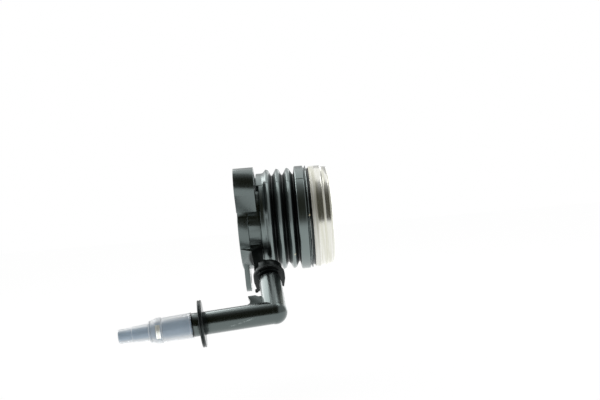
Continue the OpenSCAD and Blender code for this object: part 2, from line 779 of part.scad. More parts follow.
// Flat spring clip: a round back, two legs that pass the neck of the elbow, and a curl on one leg
clip_leg = 11.6;
clip_tip_w = 3.8;
clip_bend_y = 4;
clip_spread = 2.4;
clip_point = 1.6;
clip_curl_r = 1;
clip_curl_wall = 0.5;
module inlet_clip() {
    tip_x = clip_inner_r + clip_tip_w;
    curl_x = -tip_x - clip_curl_r / 3;
    curl_y = -clip_leg - clip_curl_r;
    color(black) at_port() translate([0, 0, clip_seat]) linear_extrude(height = clip_t) {
        difference() {
            union() {
                circle(r = clip_r);
                polygon([
                    [-clip_r, 0], [-clip_r, -clip_bend_y], [-tip_x, -clip_leg], [-tip_x + clip_point, -clip_leg],
                    [tip_x - clip_point, -clip_leg + clip_point], [tip_x, -clip_leg], [clip_r, -clip_bend_y],
                    [clip_r, 0]
                ]);
                translate([curl_x, curl_y]) circle(r = clip_curl_r, $fn = round_fn);
                translate([-tip_x, curl_y]) square([clip_point, clip_curl_r + edge]);
            }
            intersection() {
                circle(r = barrel_lip_r + fit_gap + seat_gap);
                translate([-barrel_r, clip_back_y]) square([2 * barrel_r, barrel_r]);
            }
            polygon([
                [-clip_inner_r, clip_back_y + eps], [-clip_inner_r, -clip_point],
                [-clip_inner_r - clip_spread, -clip_leg - clip_curl_r], [-clip_inner_r, -clip_leg - clip_r],
                [clip_inner_r, -clip_leg - clip_r], [clip_inner_r + clip_spread, -clip_leg - clip_curl_r],
                [clip_inner_r, -clip_point], [clip_inner_r, clip_back_y + eps]
            ]);
            translate([curl_x, curl_y]) circle(r = clip_curl_r - clip_curl_wall, $fn = round_fn);
        }
    }
}

module pipe_seal_disc() {
    groove = 0.5;
    rim = 0.3;
    mid = disc_t / 2;
    end = disc_t - seat_gap;
    r_in = pipe_r - disc_seat_depth + fit_gap;
    color(rubber) at_pipe() translate([0, 0, disc_x + fit_gap]) rotate_extrude() polygon([
        [r_in, 0], [disc_r - rim, 0], [disc_r, rim], [disc_r, mid - groove / 2], [disc_r - groove, mid],
        [disc_r, mid + groove / 2], [disc_r, end - rim], [disc_r - rim, end], [r_in, end]
    ]);
}

module connector_body() {
    lip_len = 0.9;
    color(clear_blue) difference() {
        at_pipe() rotate_extrude() polygon([
            [line_bore_r, connector_x], [connector_r, connector_x], [connector_r, connector_x + lip_len],
            [connector_r - 0.2, connector_x + lip_len + 0.2], [connector_neck_r, dome_x - 0.6],
            [connector_neck_r - 0.3, dome_x], [dome_r, dome_x + edge], [dome_r, dome_x + 0.4 * dome_len],
            [dome_r - 0.25, dome_x + 0.6 * dome_len], [dome_r - 0.8, dome_x + 0.83 * dome_len],
            [dome_r - 1.1, connector_end], [line_bore_r, connector_end]
        ]);
        connector_window(0);
    }
}

// Window for the connector's clip, cut through the side that faces away from the elbow's tab
module connector_window(margin) {
    depth = 8;
    wall = 1.4;
    at_pipe() rotate([0, 0, window_turn])
        translate([spigot_tip_r - wall + margin, -window_w / 2 + margin, window_x + margin])
            cube([depth, window_w - 2 * margin, window_len - 2 * margin]);
}

module connector_clip() {
    color(steel) intersection() {
        at_pipe() difference() {
            bar(dome_r - seat_gap, window_x, window_x + window_len);
            bar(line_bore_r, window_x - overrun, window_x + window_len + overrun);
        }
        connector_window(seat_gap);
    }
}

module connector_o_ring() {
    color(rubber) at_pipe() groove_seal(spigot_tip_r, line_bore_r, line_ring_z);
}

plug_bore_r = 1.6;
plug_flange = 1.2;
plug_step = 0.3;
module transport_plug() {
    root = connector_end + seat_gap;
    tip = root + nose_len;
    stem = spigot_end + 1;
    mid = root + nose_len * 0.56;
    color(clear_blue) at_pipe() rotate_extrude() polygon([
        [plug_bore_r, stem], [line_bore_r - fit_gap, stem], [line_bore_r - fit_gap, root],
        [nose_root_r + plug_flange, root], [nose_root_r + plug_flange, root + chamfer],
        [nose_root_r, root + plug_flange], [nose_root_r - 1.5 * plug_step, mid],
        [nose_root_r - 2.3 * plug_step, mid + plug_step], [nose_tip_r + 0.1, tip - edge],
        [nose_tip_r - plug_step, tip], [plug_bore_r, tip]
    ]);
}

housing();
guide_tube();
tube_o_ring();
base_o_ring();
for (i = [0:2]) mount_bush(i);
stop_ring();
piston();
piston_seal();
preload_spring();
dust_boot();
bearing_carrier();
bearing_retainer();
centring_washer();
bearing_inner_ring();
bearing_rear_seal();
bearing_cage();
for (i = [1:ball_count]) ball(i);
bearing_outer_ring();
bearing_front_shield();
inlet_elbow();
inlet_o_ring();
inlet_clip();
pipe_seal_disc();
connector_body();
connector_clip();
connector_o_ring();
transport_plug();
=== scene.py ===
# %% [markdown]
# A concentric clutch slave cylinder, seen from the side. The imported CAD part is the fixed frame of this
# scene: every solid is already at its real place and size. Here the solids get their finishes, and the
# pieces that a camera looks at closely get finer meshes. All lengths are in metres. The X axis is the
# gearbox input shaft, and Z points up.

# %% Load the frame
import json
import math

import bmesh
import bpy
import numpy as np
from mathutils import Matrix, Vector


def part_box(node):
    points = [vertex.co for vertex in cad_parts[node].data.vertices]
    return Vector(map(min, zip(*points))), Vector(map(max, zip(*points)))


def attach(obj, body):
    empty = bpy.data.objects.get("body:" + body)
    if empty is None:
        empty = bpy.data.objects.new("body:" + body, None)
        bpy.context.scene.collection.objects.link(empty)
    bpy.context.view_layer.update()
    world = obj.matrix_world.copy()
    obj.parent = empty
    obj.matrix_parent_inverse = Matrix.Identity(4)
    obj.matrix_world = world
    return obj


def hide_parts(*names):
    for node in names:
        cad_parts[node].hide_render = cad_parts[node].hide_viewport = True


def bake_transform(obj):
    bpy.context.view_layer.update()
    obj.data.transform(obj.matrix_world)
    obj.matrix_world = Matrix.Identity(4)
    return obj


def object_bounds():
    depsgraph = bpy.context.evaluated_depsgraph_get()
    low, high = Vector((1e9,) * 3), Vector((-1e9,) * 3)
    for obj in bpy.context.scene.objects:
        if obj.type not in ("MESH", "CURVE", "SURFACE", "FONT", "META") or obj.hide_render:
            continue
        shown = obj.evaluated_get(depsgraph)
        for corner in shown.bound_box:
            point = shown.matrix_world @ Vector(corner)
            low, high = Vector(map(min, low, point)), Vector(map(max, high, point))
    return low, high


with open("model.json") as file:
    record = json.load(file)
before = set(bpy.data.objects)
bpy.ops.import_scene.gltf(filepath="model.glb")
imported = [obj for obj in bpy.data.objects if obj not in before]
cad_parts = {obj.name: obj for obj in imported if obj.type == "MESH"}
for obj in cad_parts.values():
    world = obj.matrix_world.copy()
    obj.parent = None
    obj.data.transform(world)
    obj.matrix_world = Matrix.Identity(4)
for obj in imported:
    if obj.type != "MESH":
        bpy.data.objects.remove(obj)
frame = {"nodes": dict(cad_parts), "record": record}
cad_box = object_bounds()
scene = bpy.context.scene
MM = 0.001
print("CAD box", cad_box)


# %% [markdown]
# The camera stands level, a little more than half a metre away, as in a catalogue picture. It is turned a
# few degrees about its own line of sight, so the shaft climbs to the right in the picture. Its place was
# found by fitting the edges of the bellows, the bearing and the pipe, and not by eye.

# %% Where the camera stands
CAMERA_PLACE = np.array([33.15, -551.2, 10.8]) * MM
CAMERA_YAW = math.radians(0.61)
CAMERA_ROLL = math.radians(-4.92)


def camera_axes(yaw, roll):
    """Unit vectors right, up and ahead of a level camera.

    Ahead turns by yaw from +Y to +X, then right and up turn by roll about it.
    """
    ahead = np.array([math.sin(yaw), math.cos(yaw), 0.0])
    right = np.array([math.cos(yaw), -math.sin(yaw), 0.0])
    up = np.array([0.0, 0.0, 1.0])
    turned_right = math.cos(roll) * right + math.sin(roll) * up
    turned_up = -math.sin(roll) * right + math.cos(roll) * up
    return turned_right, turned_up, ahead


def standing_at(place, right, up, back):
    """Matrix of an object at place, with its own X axis to the right, its Y axis up and its Z axis back."""
    rows = np.eye(4)
    rows[:3] = np.column_stack([right, up, back, place])
    return Matrix(rows.tolist())


print("camera at", CAMERA_PLACE)


# %% [markdown]
# Blender's lens is a length in millimetres for a sensor of a given width. The fit gave it in picture
# points, so the lens is that number times the width of one point on the sensor.

# %% Camera
FOCAL_PX = 868.1
FRAME_W_PX = 600
SENSOR_MM = 36.0
CLIP_START, CLIP_END = 0.01, 20.0


def make_camera():
    """A camera with the fitted lens, which looks along its own -Z axis."""
    right, up, ahead = camera_axes(CAMERA_YAW, CAMERA_ROLL)
    data = bpy.data.cameras.new("side_camera")
    data.sensor_fit = "HORIZONTAL"
    data.sensor_width = SENSOR_MM
    data.lens = FOCAL_PX * SENSOR_MM / FRAME_W_PX
    data.clip_start = CLIP_START
    data.clip_end = CLIP_END
    camera = bpy.data.objects.new("side_camera", data)
    camera.matrix_world = standing_at(CAMERA_PLACE, right, up, -ahead)
    scene.collection.objects.link(camera)
    scene.camera = camera
    return camera


camera = make_camera()
print("lens", round(camera.data.lens, 2), "mm")


# %% [markdown]
# The room, the floor and every finish are networks of shader nodes, and all of them repeat a few small
# steps. A helper for each of those steps keeps the networks short enough to read as formulas. An input of
# a helper may be a plain number or the output of another node.

# %% Helpers for shader nodes
scene.view_settings.view_transform = "Standard"


def new_node(tree, kind, **values):
    """Adds a shader node and sets its properties by name."""
    node = tree.nodes.new(kind)
    for name, value in values.items():
        setattr(node, name, value)
    return node


def feed(tree, socket, value):
    """Links the output of a node to the socket, or writes a plain value into it."""
    if isinstance(value, bpy.types.NodeSocket):
        tree.links.new(value, socket)
    else:
        socket.default_value = value


def math_node(tree, operation, *values):
    """One Math node, with a number or an output for each of its inputs in turn."""
    node = new_node(tree, "ShaderNodeMath", operation=operation)
    for socket, value in zip(node.inputs, values):
        feed(tree, socket, value)
    return node.outputs[0]


def smooth_step(tree, value, start, end):
    """0 before start and 1 after end, smooth between them; start may lie above end."""
    node = new_node(tree, "ShaderNodeMapRange", interpolation_type="SMOOTHSTEP")
    tree.links.new(value, node.inputs["Value"])
    node.inputs["From Min"].default_value = start
    node.inputs["From Max"].default_value = end
    return node.outputs[0]


print("view transform", scene.view_settings.view_transform)


# %% [markdown]
# Two more helpers work with colours and with rays. A glossy ray may see another room than the camera
# does, as on a photographer's table with black boards behind the camera, and the Light Path node tells
# such rays apart.

# %% Helpers for colours and rays
def mix_colours(tree, mask, a, b):
    """Colour a where mask is 0 and b where it is 1. Each is three numbers or the output of a node."""
    node = new_node(tree, "ShaderNodeMix", data_type="RGBA")
    tree.links.new(mask, node.inputs["Factor"])
    for socket, value in ((node.inputs[6], a), (node.inputs[7], b)):
        feed(tree, socket, value if isinstance(value, bpy.types.NodeSocket) else (*value, 1.0))
    return node.outputs[2]


def camera_like_rays(tree):
    """1 for the rays of the camera, straight or through clear plastic."""
    path = new_node(tree, "ShaderNodeLightPath")
    return math_node(tree, "MAXIMUM", path.outputs["Is Camera Ray"], path.outputs["Is Transmission Ray"])


print("colour and ray helpers are ready")


# %% [markdown]
# Black plastic shows little but what it mirrors, so the room around it matters as much as the lamps. The
# world is a photographer's table: a pale room all round, white behind the part, and dark behind the
# camera. A world shader that reads only the direction of a ray can say all that without a single extra
# object. The dark side ends a little below level and fades out overhead, which gives the bearing its dark
# window.

# %% The room
# Heights are degrees round the shaft from level on the near side; sides are the X of a ray of length 1.
# Each has a soft edge at its start and at its end.
DARK_HEIGHTS = ((-15.0, -9.0), (44.0, 104.0))
DARK_SIDES = ((-0.62, -0.42), (0.40, 0.60))
DARK_COLOUR = (0.036, 0.034, 0.012)
ROOM_COLOUR = (0.8, 0.8, 0.8)


def dark_side(tree):
    """1 where a ray looks to the dark side of the room.

    The height is the angle whose tangent is Z / -Y, and the mask is the product of four soft edges.
    """
    split = new_node(tree, "ShaderNodeSeparateXYZ")
    tree.links.new(new_node(tree, "ShaderNodeTexCoord").outputs["Generated"], split.inputs[0])
    near = math_node(tree, "MULTIPLY", split.outputs["Y"], -1.0)
    angle = math_node(tree, "ARCTAN2", split.outputs["Z"], near)
    height = math_node(tree, "MULTIPLY", angle, 180 / math.pi)
    edges = []
    for value, (first, last) in ((height, DARK_HEIGHTS), (split.outputs["X"], DARK_SIDES)):
        edges.append(smooth_step(tree, value, *first))
        edges.append(smooth_step(tree, value, *reversed(last)))
    mask = edges[0]
    for edge in edges[1:]:
        mask = math_node(tree, "MULTIPLY", mask, edge)
    return mask


def make_world():
    """White for the camera, and the room with its dark side for every other ray."""
    world = bpy.data.worlds.new("light_table")
    world.use_nodes = True
    tree = world.node_tree
    tree.nodes.clear()
    lit = new_node(tree, "ShaderNodeBackground")
    tree.links.new(mix_colours(tree, dark_side(tree), ROOM_COLOUR, DARK_COLOUR), lit.inputs["Color"])
    white = new_node(tree, "ShaderNodeBackground")
    white.inputs["Color"].default_value = (1, 1, 1, 1)
    mix = new_node(tree, "ShaderNodeMixShader")
    tree.links.new(camera_like_rays(tree), mix.inputs[0])
    tree.links.new(lit.outputs[0], mix.inputs[1])
    tree.links.new(white.outputs[0], mix.inputs[2])
    out = new_node(tree, "ShaderNodeOutputWorld")
    tree.links.new(mix.outputs[0], out.inputs[0])
    scene.world = world


make_world()
print("dark side from", DARK_HEIGHTS[0][0], "to", DARK_HEIGHTS[1][1], "degrees")


# %% [markdown]
# The floor is a plain pale sheet well below the part, which in use is bolted to a gearbox and rests on
# nothing. A camera ray sees it nearly white, and a share of its lit colour keeps the part's soft shadow.
# It is a table lit from below, so black plastic mirrors it more strongly than plain paper. Its near edge
# stops short of the camera, so that the part mirrors the dark side and not the floor there.

# %% Floor
FLOOR_DROP = 0.035
FLOOR_FAR = 3.0
FLOOR_NEAR = 0.45
FLOOR_GLOW = 0.9
PAPER_COLOUR = (0.9, 0.9, 0.9, 1.0)
TABLE_WHITE = 1.04
TABLE_MIRRORED = 1.75


def floor_paper():
    """Paper that is lit by the lamps, mixed with its own glow, which is stronger for glossy rays."""
    material = bpy.data.materials.new("floor_paper")
    material.use_nodes = True
    tree = material.node_tree
    tree.nodes.clear()
    paper = new_node(tree, "ShaderNodeBsdfDiffuse")
    paper.inputs["Color"].default_value = PAPER_COLOUR
    glow = new_node(tree, "ShaderNodeEmission")
    glossy = new_node(tree, "ShaderNodeLightPath").outputs["Is Glossy Ray"]
    extra = math_node(tree, "MULTIPLY", glossy, TABLE_MIRRORED - TABLE_WHITE)
    tree.links.new(math_node(tree, "ADD", extra, TABLE_WHITE), glow.inputs["Strength"])
    mix = new_node(tree, "ShaderNodeMixShader")
    mix.inputs[0].default_value = FLOOR_GLOW
    tree.links.new(paper.outputs[0], mix.inputs[1])
    tree.links.new(glow.outputs[0], mix.inputs[2])
    out = new_node(tree, "ShaderNodeOutputMaterial")
    tree.links.new(mix.outputs[0], out.inputs["Surface"])
    return material


def make_floor():
    """One flat face below the part."""
    z = cad_box[0][2] - FLOOR_DROP
    corners = [(-FLOOR_FAR, -FLOOR_NEAR, z), (FLOOR_FAR, -FLOOR_NEAR, z),
               (FLOOR_FAR, FLOOR_FAR, z), (-FLOOR_FAR, FLOOR_FAR, z)]
    mesh = bpy.data.meshes.new("floor")
    mesh.from_pydata(corners, [], [(0, 1, 2, 3)])
    mesh.materials.append(floor_paper())
    floor = bpy.data.objects.new("floor", mesh)
    scene.collection.objects.link(floor)
    return floor


floor = make_floor()
print("floor at", round(floor.data.vertices[0].co.z, 4))


# %% [markdown]
# Four soft boxes give the part its shape: a wide one overhead, a strong one high on the left, a small one
# high on the right and one behind the part on the right. Only the top one lights the surfaces. The others
# are seen in the gloss alone, as long pale streaks along the stub, the pipe and the folds, so they can be
# strong and the flat faces still stay black.

# %% Lamps
LAMP_AIM = (0.02, 0.0, 0.0)
NEARLY_UPRIGHT = 0.95
SOFT_BOXES = (
    ("top_box", (0.05, 0.36, 0.9), (0.9, 1.0), 2.4, False),
    ("left_box", (-0.72, 0.36, 0.58), (1.1, 1.1), 15.0, True),
    ("right_top_box", (0.44, -0.02, 0.90), (0.40, 0.40), 1.3, True),
    ("right_box", (0.58, 0.80, 0.20), (0.8, 0.8), 3.0, True),
)


def soft_box(name, place, size, power, gloss_only):
    """A rectangular area lamp at place, which faces the part. gloss_only keeps it to mirrored highlights."""
    data = bpy.data.lights.new(name, "AREA")
    data.shape = "RECTANGLE"
    data.size, data.size_y = size
    data.energy = power
    ahead = np.array(LAMP_AIM) - np.array(place)
    ahead /= np.linalg.norm(ahead)
    side = np.cross(ahead, (0.0, 0.0, 1.0) if abs(ahead[2]) < NEARLY_UPRIGHT else (0.0, 1.0, 0.0))
    side /= np.linalg.norm(side)
    lamp = bpy.data.objects.new(name, data)
    lamp.matrix_world = standing_at(place, side, np.cross(side, ahead), -ahead)
    lamp.visible_camera = False
    lamp.visible_diffuse = not gloss_only
    scene.collection.objects.link(lamp)


for box in SOFT_BOXES:
    soft_box(*box)
print("lamps", [box[0] for box in SOFT_BOXES])


# %% [markdown]
# Effects that several finishes share are node groups, built once: fine moulded grain with broad uneven
# tone, and dust. Each group puts out plain values, and the shader itself stays in the material, where an
# export can read it.

# %% Noise and node groups
def start_group(name, inputs, outputs):
    """A shader node group with number inputs (name, default) and outputs by name."""
    group = bpy.data.node_groups.new(name, "ShaderNodeTree")
    for socket, default in inputs:
        made = group.interface.new_socket(name=socket, in_out="INPUT", socket_type="NodeSocketFloat")
        made.default_value = default
    for socket in outputs:
        group.interface.new_socket(name=socket, in_out="OUTPUT", socket_type="NodeSocketFloat")
    return group, new_node(group, "NodeGroupInput"), new_node(group, "NodeGroupOutput")


def object_place(tree):
    """The place of a point in the part's own frame."""
    return new_node(tree, "ShaderNodeTexCoord").outputs["Object"]


def noise(tree, scale, detail=2.0, roughness=0.5, stretch=None):
    """Noise on object coordinates. Scale is per metre, and stretch scales it along X, Y and Z."""
    vector = object_place(tree)
    if stretch:
        mapping = new_node(tree, "ShaderNodeMapping")
        mapping.inputs["Scale"].default_value = stretch
        tree.links.new(vector, mapping.inputs["Vector"])
        vector = mapping.outputs[0]
    texture = new_node(tree, "ShaderNodeTexNoise")
    tree.links.new(vector, texture.inputs["Vector"])
    feed(tree, texture.inputs["Scale"], scale)
    texture.inputs["Detail"].default_value = detail
    texture.inputs["Roughness"].default_value = roughness
    return texture.outputs["Fac"]


print("noise and group helpers are ready")


# %% [markdown]
# Moulded plastic is never one flat black: its skin has a fine grain from the mould, and its tone wanders
# slowly. Two noises say so, one about twenty times finer than the other. Dust lies in sparse specks, and
# a cell pattern gives them: a few cells are chosen, and only their cores show.

# %% Grain and dust
SPECK_CORE = 0.18


def grain_group():
    """Height of a fine moulded grain, and a mask of broad uneven tone."""
    group, given, out = start_group(
        "moulded_grain", [("Grain scale", 1500.0), ("Tone scale", 60.0)], ["Height", "Tone"])
    group.links.new(noise(group, given.outputs["Grain scale"], 3.0, 0.6), out.inputs["Height"])
    group.links.new(noise(group, given.outputs["Tone scale"], 3.0, 0.5), out.inputs["Tone"])
    return group


def dust_group():
    """Mask of sparse specks: 1 in the core of each cell whose random number lies under the amount."""
    group, given, out = start_group("dust_specks", [("Scale", 900.0), ("Amount", 0.02)], ["Mask"])
    cells = new_node(group, "ShaderNodeTexVoronoi")
    group.links.new(object_place(group), cells.inputs["Vector"])
    group.links.new(given.outputs["Scale"], cells.inputs["Scale"])
    core = math_node(group, "LESS_THAN", cells.outputs["Distance"], SPECK_CORE)
    colour = new_node(group, "ShaderNodeSeparateColor")
    group.links.new(cells.outputs["Color"], colour.inputs[0])
    chosen = math_node(group, "LESS_THAN", colour.outputs[0], given.outputs["Amount"])
    group.links.new(math_node(group, "MULTIPLY", core, chosen), out.inputs["Mask"])
    return group


GRAIN = grain_group()
DUST = dust_group()
print("groups", GRAIN.name, DUST.name)


# %% [markdown]
# Every finish starts from the same shader, takes values from the groups and ends with a bump. The bump
# only tilts the light on the skin: it stands for marks of a few hundredths of a millimetre.

# %% Helpers for finishes
def start_material(name):
    """An empty material with one Principled shader."""
    material = bpy.data.materials.new(name)
    material.use_nodes = True
    tree = material.node_tree
    tree.nodes.clear()
    shader = new_node(tree, "ShaderNodeBsdfPrincipled")
    out = new_node(tree, "ShaderNodeOutputMaterial")
    tree.links.new(shader.outputs[0], out.inputs["Surface"])
    return material, tree, shader


def use_group(tree, group, **values):
    """The group as one node, with its inputs set by name; an underscore stands for a space."""
    node = new_node(tree, "ShaderNodeGroup", node_tree=group)
    for name, value in values.items():
        node.inputs[name.replace("_", " ")].default_value = value
    return node


def between(tree, mask, low, high):
    """Low where mask is 0 and high where it is 1: mask * (high - low) + low."""
    return math_node(tree, "MULTIPLY_ADD", mask, high - low, low)


def bump(tree, shader, height, distance, strength):
    """Tilts the light on the surface as if it rose by height times distance, in metres."""
    node = new_node(tree, "ShaderNodeBump")
    node.inputs["Strength"].default_value = strength
    node.inputs["Distance"].default_value = distance
    tree.links.new(height, node.inputs["Height"])
    tree.links.new(node.outputs[0], shader.inputs["Normal"])


print("finish helpers are ready")


# %% [markdown]
# The part was handled before it was photographed: a grain of grit sticks here and there, and the pipe is
# scuffed. Each such mark has a known place, so a mask worked out from the distance to that place draws
# it. A picture mapped onto the part could do it too, but this needs none, and it turns with the piece.

# %% Marks at known places
SCUFF_W = 0.0005
SCUFF_DEPTH = (0.005, 0.003)
SCUFF_BREAKS = (0.40, 0.60)
SPOT_EDGE = (1.05, 0.95)


def spot(tree, centre, radius):
    """1 inside a small ball of the given radius round centre, both in millimetres."""
    away = new_node(tree, "ShaderNodeVectorMath", operation="DISTANCE")
    tree.links.new(object_place(tree), away.inputs[0])
    away.inputs[1].default_value = [c * MM for c in centre]
    return smooth_step(tree, away.outputs["Value"], *(radius * edge * MM for edge in SPOT_EDGE))


def scuffed_line(tree, start, end):
    """1 on a thin line between two points in millimetres on the near side, broken up by noise.

    The mask is the product of soft edges: of the distance from the line as seen from the near side, of the
    way along it from either end, and of the depth behind it.
    """
    start, end = np.array(start) * MM, np.array(end) * MM
    length = np.linalg.norm(end - start)
    along = (end - start) / length
    across = np.cross(along, (0.0, 1.0, 0.0))
    place = object_place(tree)
    values = []
    for direction in (across, along, np.array([0.0, 1.0, 0.0])):
        dot = new_node(tree, "ShaderNodeVectorMath", operation="DOT_PRODUCT")
        tree.links.new(place, dot.inputs[0])
        dot.inputs[1].default_value = direction.tolist()
        values.append(math_node(tree, "SUBTRACT", dot.outputs["Value"], float(start @ direction)))
    off_line, way, depth = values
    mask = smooth_step(tree, math_node(tree, "ABSOLUTE", off_line), SCUFF_W, SCUFF_W / 4)
    for edge in (smooth_step(tree, way, 0.0, length / 6),
                 smooth_step(tree, way, length, length * 5 / 6),
                 smooth_step(tree, depth, *SCUFF_DEPTH),
                 smooth_step(tree, noise(tree, 900.0, 3.0, 0.7), *SCUFF_BREAKS)):
        mask = math_node(tree, "MULTIPLY", mask, edge)
    return mask


print("scuff", SCUFF_W / MM, "mm wide")


# %% [markdown]
# The blacks are glass-filled nylon with a fine grain, moulded rubber with a soft sheen, and plain seal
# rubber. They differ in roughness, in grain and in how much their tone wanders, so one function makes
# them all. Their gloss has a slightly cool cast, as in the photo. The shiny ones have an index well over
# that of real plastic, which stands for lamps much stronger than those of this scene and gives the same
# grey streaks.

# %% How a black finish is built
DUST_COLOUR = (0.50, 0.42, 0.26)
SCUFF_COLOUR = (0.16, 0.18, 0.18)
COOL_GLOSS = (0.80, 0.96, 0.94, 1.0)
TONE_SCALE = 70.0
DUST_SCALE = 700.0
GRAIN_HEIGHT, GRAIN_STRENGTH = 0.00002, 0.25
GLOSS_LEVEL = 0.5
SHADE_GLOSS_LEVEL = 0.05


def black_finish(name, dark, light, roughness, grain, gloss_ior, dust_amount=0.0,
                 shade_attribute=None, shade_ball=None, grit=None, scuff=None):
    """A grained black finish: its tone wanders from dark to light, and a few specks of dust lie on it.

    shade_attribute names a point attribute that is 1 where the gloss is taken away as painted shade.
    shade_ball is a centre and a radius in millimetres, inside which the gloss is taken away as painted shade.
    grit is a small ball where a grain sticks, and scuff the two ends of a scuffed line.
    """
    material, tree, shader = start_material(name)
    texture = use_group(tree, GRAIN, Grain_scale=grain, Tone_scale=TONE_SCALE)
    dust = use_group(tree, DUST, Scale=DUST_SCALE, Amount=dust_amount)
    colour = mix_colours(tree, texture.outputs["Tone"], dark, light)
    colour = mix_colours(tree, dust.outputs["Mask"], colour, DUST_COLOUR)
    if grit:
        colour = mix_colours(tree, spot(tree, *grit), colour, DUST_COLOUR)
    if scuff:
        colour = mix_colours(tree, scuffed_line(tree, *scuff), colour, SCUFF_COLOUR)
    tree.links.new(colour, shader.inputs["Base Color"])
    tree.links.new(between(tree, texture.outputs["Tone"], *roughness), shader.inputs["Roughness"])
    shader.inputs["IOR"].default_value = gloss_ior
    shader.inputs["Specular Tint"].default_value = COOL_GLOSS
    # dull is a mask of painted shade: where it is 1 the gloss drops, so the skin looks as dark as shade.
    dull = None
    if shade_attribute:
        dull = new_node(tree, "ShaderNodeAttribute", attribute_name=shade_attribute).outputs["Fac"]
    if shade_ball:
        dull = spot(tree, *shade_ball)
    if dull:
        tree.links.new(between(tree, dull, GLOSS_LEVEL, SHADE_GLOSS_LEVEL), shader.inputs["Specular IOR Level"])
    bump(tree, shader, texture.outputs["Height"], GRAIN_HEIGHT, GRAIN_STRENGTH)
    return material


# The second level is the gloss left where shade is painted in.
print("gloss level", GLOSS_LEVEL, "and", SHADE_GLOSS_LEVEL, "where the skin is dull")


# %% [markdown]
# Housing, boot, seals, elbow and clip each get their own black. Under the clip at the port, at the far end of
# the pipe and deep between the boot's folds, which the boot marks itself, the gloss is taken away as painted
# shade. The clip is dull nylon, and its rounded edges shine with a painted highlight.

# %% Black plastics and rubbers
# Balls of painted shade, where the gloss is taken away: under the clip at the port, and at the far end of the
# pipe.
PORT_SHADE_BALL = ((15.0, -29.0, -29.0), 14.5)
PIPE_END_SHADE_BALL = ((-33.0, -55.4, -55.4), 8.4)
RETAINER_GRIT = ((43.6, -32.2, 1.4), 0.6)
BOOT_GRIT = ((33.2, -22.4, -22.03), 0.7)
SEAL_GRIT = ((46.15, -9.0, 29.3), 1.0)
PIPE_SCUFF = ((-8.5, -59.5, -57.5), (7.5, -59.5, -53.6))

NYLON = black_finish("housing_nylon", (0.002, 0.0025, 0.0025), (0.005, 0.006, 0.006), (0.24, 0.30),
                     grain=1600.0, gloss_ior=2.0, shade_ball=PORT_SHADE_BALL, grit=RETAINER_GRIT)
BOOT = black_finish("boot_rubber", (0.002, 0.0025, 0.0025), (0.005, 0.006, 0.006), (0.26, 0.34),
                    grain=1100.0, gloss_ior=2.3, dust_amount=0.004, shade_attribute="fold_depth",
                    grit=BOOT_GRIT)
SEAL = black_finish("seal_rubber", (0.002, 0.002, 0.0025), (0.004, 0.0045, 0.005), (0.26, 0.36),
                    grain=1300.0, gloss_ior=1.45, grit=SEAL_GRIT)
ELBOW = black_finish("elbow_nylon", (0.002, 0.0025, 0.0025), (0.004, 0.005, 0.005), (0.19, 0.26),
                     grain=1600.0, gloss_ior=1.9, shade_ball=PIPE_END_SHADE_BALL, scuff=PIPE_SCUFF)
# Painted highlight for rounded edges: a lighter, glossier black that stands in for the light a rim catches.
EDGE_HIGHLIGHT = black_finish("painted_edge_highlight", (0.006, 0.007, 0.007), (0.010, 0.011, 0.011), (0.20, 0.26),
                     grain=1600.0, gloss_ior=2.6)
CLIP = black_finish("clip_nylon", (0.002, 0.002, 0.002), (0.004, 0.004, 0.004), (0.44, 0.52),
                    grain=1600.0, gloss_ior=1.28)
print("black finishes", [finish.name for finish in (NYLON, BOOT, SEAL, ELBOW, EDGE_HIGHLIGHT, CLIP)])


# %% [markdown]
# The bearing is turned steel: fine rings run round the shaft, and they stretch what the metal mirrors
# into bands. Noise that changes fast along X and slowly across it draws those rings without any map. The
# taper at the back of the outer ring is ground and not turned, so it is duller and its dark window fades
# out.

# %% How a turned steel is built
STEEL_METALLIC = 0.88
STREAK_SHADE = (0.82, 0.815, 0.74)
STREAK_SCALE = 700.0
STREAK_EDGES = (0.36, 0.64)
RING_STRENGTH = 0.35
GROUND_DULLNESS = 0.36
GROUND_EDGE_W = 0.0008
TAPER_END_X = 0.0487


def turned_steel(name, colour, roughness, ring_scale, ring_depth, ground_until=None):
    """Steel with turned rings and faint streaks; behind the place ground_until (X, metres) it is ground."""
    material, tree, shader = start_material(name)
    rings = noise(tree, ring_scale, 4.0, 0.7, stretch=(1.0, 0.02, 0.02))
    streaks = noise(tree, STREAK_SCALE, 3.0, 0.6, stretch=(1.0, 0.03, 0.03))
    streaks = smooth_step(tree, streaks, *STREAK_EDGES)
    dark = tuple(c * shade for c, shade in zip(colour, STREAK_SHADE))
    tree.links.new(mix_colours(tree, streaks, dark, colour), shader.inputs["Base Color"])
    shader.inputs["Metallic"].default_value = STEEL_METALLIC
    dullness = between(tree, rings, *roughness)
    if ground_until is not None:
        split = new_node(tree, "ShaderNodeSeparateXYZ")
        tree.links.new(object_place(tree), split.inputs[0])
        ground = smooth_step(tree, split.outputs["X"], ground_until + GROUND_EDGE_W / 2,
                             ground_until - GROUND_EDGE_W / 2)
        dullness = math_node(tree, "ADD", dullness, math_node(tree, "MULTIPLY", ground, GROUND_DULLNESS))
    tree.links.new(dullness, shader.inputs["Roughness"])
    bump(tree, shader, rings, ring_depth, RING_STRENGTH)
    return material


print("the taper ends at", TAPER_END_X)


# %% [markdown]
# Four steels come from that one function: the bearing's, the bright sleeve's, the darker spring wire's,
# and a pale one for the spring bar that shows in the connector's window.

